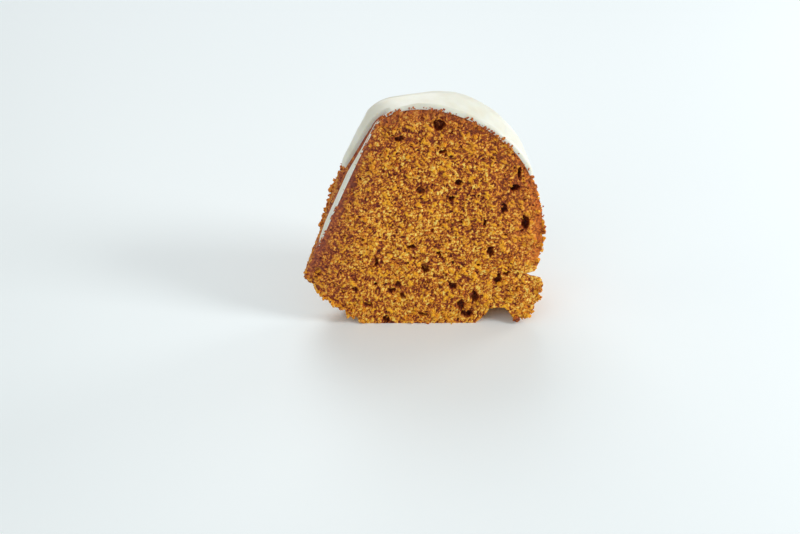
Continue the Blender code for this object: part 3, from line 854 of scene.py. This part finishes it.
def crumb_material():
    """Moist open crumb: toned grain by grain with painted highlights and glints, painted shade in its pits, golden
    lumps that are partly painted highlight, browner by the crust.
    """
    material, nodes, links, shader = nodes_of("pound_cake_crumb")
    speck = noise_node(nodes, links, 1400.0, 3.0, 0.75)
    blot = noise_node(nodes, links, 480.0, 3.0, 0.6)
    blotted = math_node(nodes, links, "SUBTRACT", blot, 0.5)
    specked = math_node(nodes, links, "MULTIPLY", math_node(nodes, links, "SUBTRACT", speck, 0.5), 2.9)
    tone_and_painted_light = math_node(nodes, links, "ADD", attribute_node(nodes, "tone_and_painted_light"), blotted)
    tone_and_painted_light = math_node(nodes, links, "ADD", tone_and_painted_light, specked)
    # Dark red-brown at the low end is partly painted shade; the palest stops at the top, reached through the fine
    # specks, are painted glints
    crumb_colour = ramp_node(nodes, links, tone_and_painted_light, (
        (0.05, (0.13, 0.012, 0.003)), (0.28, (0.34, 0.060, 0.008)), (0.50, (0.62, 0.182, 0.014)),
        (0.70, (0.88, 0.36, 0.024)), (0.90, (1.0, 0.56, 0.055)), (1.0, (1.0, 0.74, 0.18)),
    ))
    # Golden flakes' colour, partly painted highlight
    gold_and_highlight_colour = ramp_node(nodes, links, speck, (
        (0.32, (0.80, 0.25, 0.008)), (0.50, (1.0, 0.45, 0.010)), (0.66, (1.0, 0.64, 0.045)),
    ))
    crust_tint = attribute_node(nodes, "crust_tint", "Color")
    crust_colour = mix_colours(nodes, links, 0.55, crust_tint, crumb_colour, "MULTIPLY")
    colour = mix_colours(nodes, links, attribute_node(nodes, "gold_and_highlight"), crumb_colour, gold_and_highlight_colour)
    colour = mix_colours(nodes, links, attribute_node(nodes, "crust"), colour, crust_colour)
    # Painted shade: the colour is darkened towards red-brown in pits and pores
    pit_shade_colour = ramp_node(nodes, links, attribute_node(nodes, "pit_shade"), (
        (0.0, (1.0, 1.0, 1.0)), (0.40, (0.58, 0.32, 0.26)), (1.0, (0.24, 0.10, 0.10)),
    ))
    colour = mix_colours(nodes, links, 1.0, colour, pit_shade_colour, "MULTIPLY")
    roughness = ramp_node(nodes, links, speck, ((0.3, (0.42, 0.42, 0.42)), (0.7, (0.85, 0.85, 0.85))))
    relief = bump_node(nodes, links, math_node(nodes, links, "ADD", speck, blot), 0.60, 0.0003)
    links.new(colour, shader.inputs["Base Color"])
    links.new(roughness, shader.inputs["Roughness"])
    links.new(relief, shader.inputs["Normal"])
    shader.inputs["Subsurface Weight"].default_value = 0.12
    shader.inputs["Subsurface Radius"].default_value = (1.0, 0.45, 0.15)
    shader.inputs["Subsurface Scale"].default_value = 0.0012
    shader.inputs["Specular IOR Level"].default_value = 0.30
    return material


def icing_material():
    """Poured cream icing: off-white, slightly translucent, a satin skin with faint waves and pinholes."""
    material, nodes, links, shader = nodes_of("poured_cream_icing")
    cloud = noise_node(nodes, links, 90.0, 3.0, 0.55)
    grain = noise_node(nodes, links, 1400.0, 2.0, 0.5)
    colour = ramp_node(nodes, links, cloud, (
        (0.30, (0.72, 0.71, 0.60)), (0.50, (0.77, 0.785, 0.70)), (0.72, (0.82, 0.84, 0.78)),
    ))
    roughness = ramp_node(nodes, links, cloud, ((0.3, (0.30, 0.30, 0.30)), (0.7, (0.44, 0.44, 0.44))))
    pinholes = math_node(nodes, links, "MULTIPLY", grain, 0.18)
    waves = math_node(nodes, links, "ADD", pinholes, noise_node(nodes, links, 260.0, 2.0, 0.5))
    links.new(colour, shader.inputs["Base Color"])
    links.new(roughness, shader.inputs["Roughness"])
    links.new(bump_node(nodes, links, waves, 0.22, 0.0004), shader.inputs["Normal"])
    shader.inputs["Subsurface Weight"].default_value = 0.35
    shader.inputs["Subsurface Radius"].default_value = (1.0, 0.8, 0.55)
    shader.inputs["Subsurface Scale"].default_value = 0.0022
    shader.inputs["Coat Weight"].default_value = 0.12
    shader.inputs["Coat Roughness"].default_value = 0.25
    return material


def make_floor():
    """A plain pale floor under the slice."""
    mesh = bpy.data.meshes.new("floor")
    half = 3.0
    mesh.from_pydata([(-half, -half, 0), (half, -half, 0), (half, half, 0), (-half, half, 0)], [], [(0, 1, 2, 3)])
    material, _, _, shader = nodes_of("pale_floor")
    shader.inputs["Base Color"].default_value = (0.830, 0.908, 0.952, 1.0)
    shader.inputs["Roughness"].default_value = 0.45
    mesh.materials.append(material)
    floor = bpy.data.objects.new("floor", mesh)
    bpy.context.scene.collection.objects.link(floor)


def make_light(name, place_at, aim, size, power, colour):
    """A square soft light that faces the point aim."""
    data = bpy.data.lights.new(name, "AREA")
    data.shape = "SQUARE"
    data.size = size
    data.energy = power
    data.color = colour
    light = bpy.data.objects.new(name, data)
    light.location = place_at
    light.rotation_euler = (Vector(aim) - Vector(place_at)).to_track_quat("-Z", "Y").to_euler()
    bpy.context.scene.collection.objects.link(light)


def make_stage():
    """Pale world, a soft key from the right, a wide fill from the front left, and three weaker lights.

    The back light brightens the floor behind the slice, the left one is warm and the rim one lights the right edge.
    """
    world = bpy.data.worlds.new("studio")
    world.use_nodes = True
    background = world.node_tree.nodes["Background"]
    background.inputs["Color"].default_value = (0.975, 0.97, 0.945, 1.0)
    background.inputs["Strength"].default_value = 0.45
    bpy.context.scene.world = world
    bpy.context.scene.view_settings.view_transform = "Standard"
    make_floor()
    make_light("key", (0.85, -0.22, 0.52), (0.0, 0.0, 0.04), 0.30, 5.2, (1.0, 0.99, 0.96))
    make_light("fill", (-0.42, -0.78, 0.80), (0.0, 0.0, 0.04), 0.8, 2.05, (1.0, 0.99, 0.97))
    make_light("left", (-0.80, -0.10, 0.40), (-0.02, 0.0, 0.06), 0.5, 0.6, (1.0, 0.89, 0.64))
    make_light("rim", (0.72, 0.42, 0.26), (0.04, 0.0, 0.04), 0.30, 1.7, (1.0, 0.98, 0.94))
    make_light("back", (-0.20, 0.80, 0.70), (-0.05, 0.25, 0.0), 0.7, 3.2, (1.0, 1.0, 1.0))


def make_camera():
    """The photograph's view: 32 degrees down, turned 3 degrees and tipped by 2."""
    pitch, roll, yaw = math.radians(32.1), math.radians(-1.91), math.radians(3.0)
    ahead = Vector((-math.sin(yaw), math.cos(yaw), 0.0))
    forward = ahead * math.cos(pitch) + Vector((0.0, 0.0, -math.sin(pitch)))
    level = Vector((ahead.y, -ahead.x, 0.0))
    right = level * math.cos(roll) + level.cross(forward) * math.sin(roll)
    turn = Matrix((right, right.cross(forward), -forward)).transposed().to_4x4()
    turn.translation = Vector((5.96 + PLACE_X, -335.60 + PLACE_Y, 238.23)) * MM
    data = bpy.data.cameras.new("camera")
    data.lens = 44.74
    data.sensor_width = 36.0
    data.clip_start = 0.01
    camera = bpy.data.objects.new("camera", data)
    camera.matrix_world = turn
    bpy.context.scene.collection.objects.link(camera)
    bpy.context.scene.camera = camera


crumb_finish = crumb_material()
front_cut, wall_rings, back_cut = make_cake(crumb_finish)
make_crumbs(front_cut, back_cut, wall_rings, crumb_finish)
make_icing(icing_material())
make_stage()
make_camera()

bpy.context.view_layer.update()
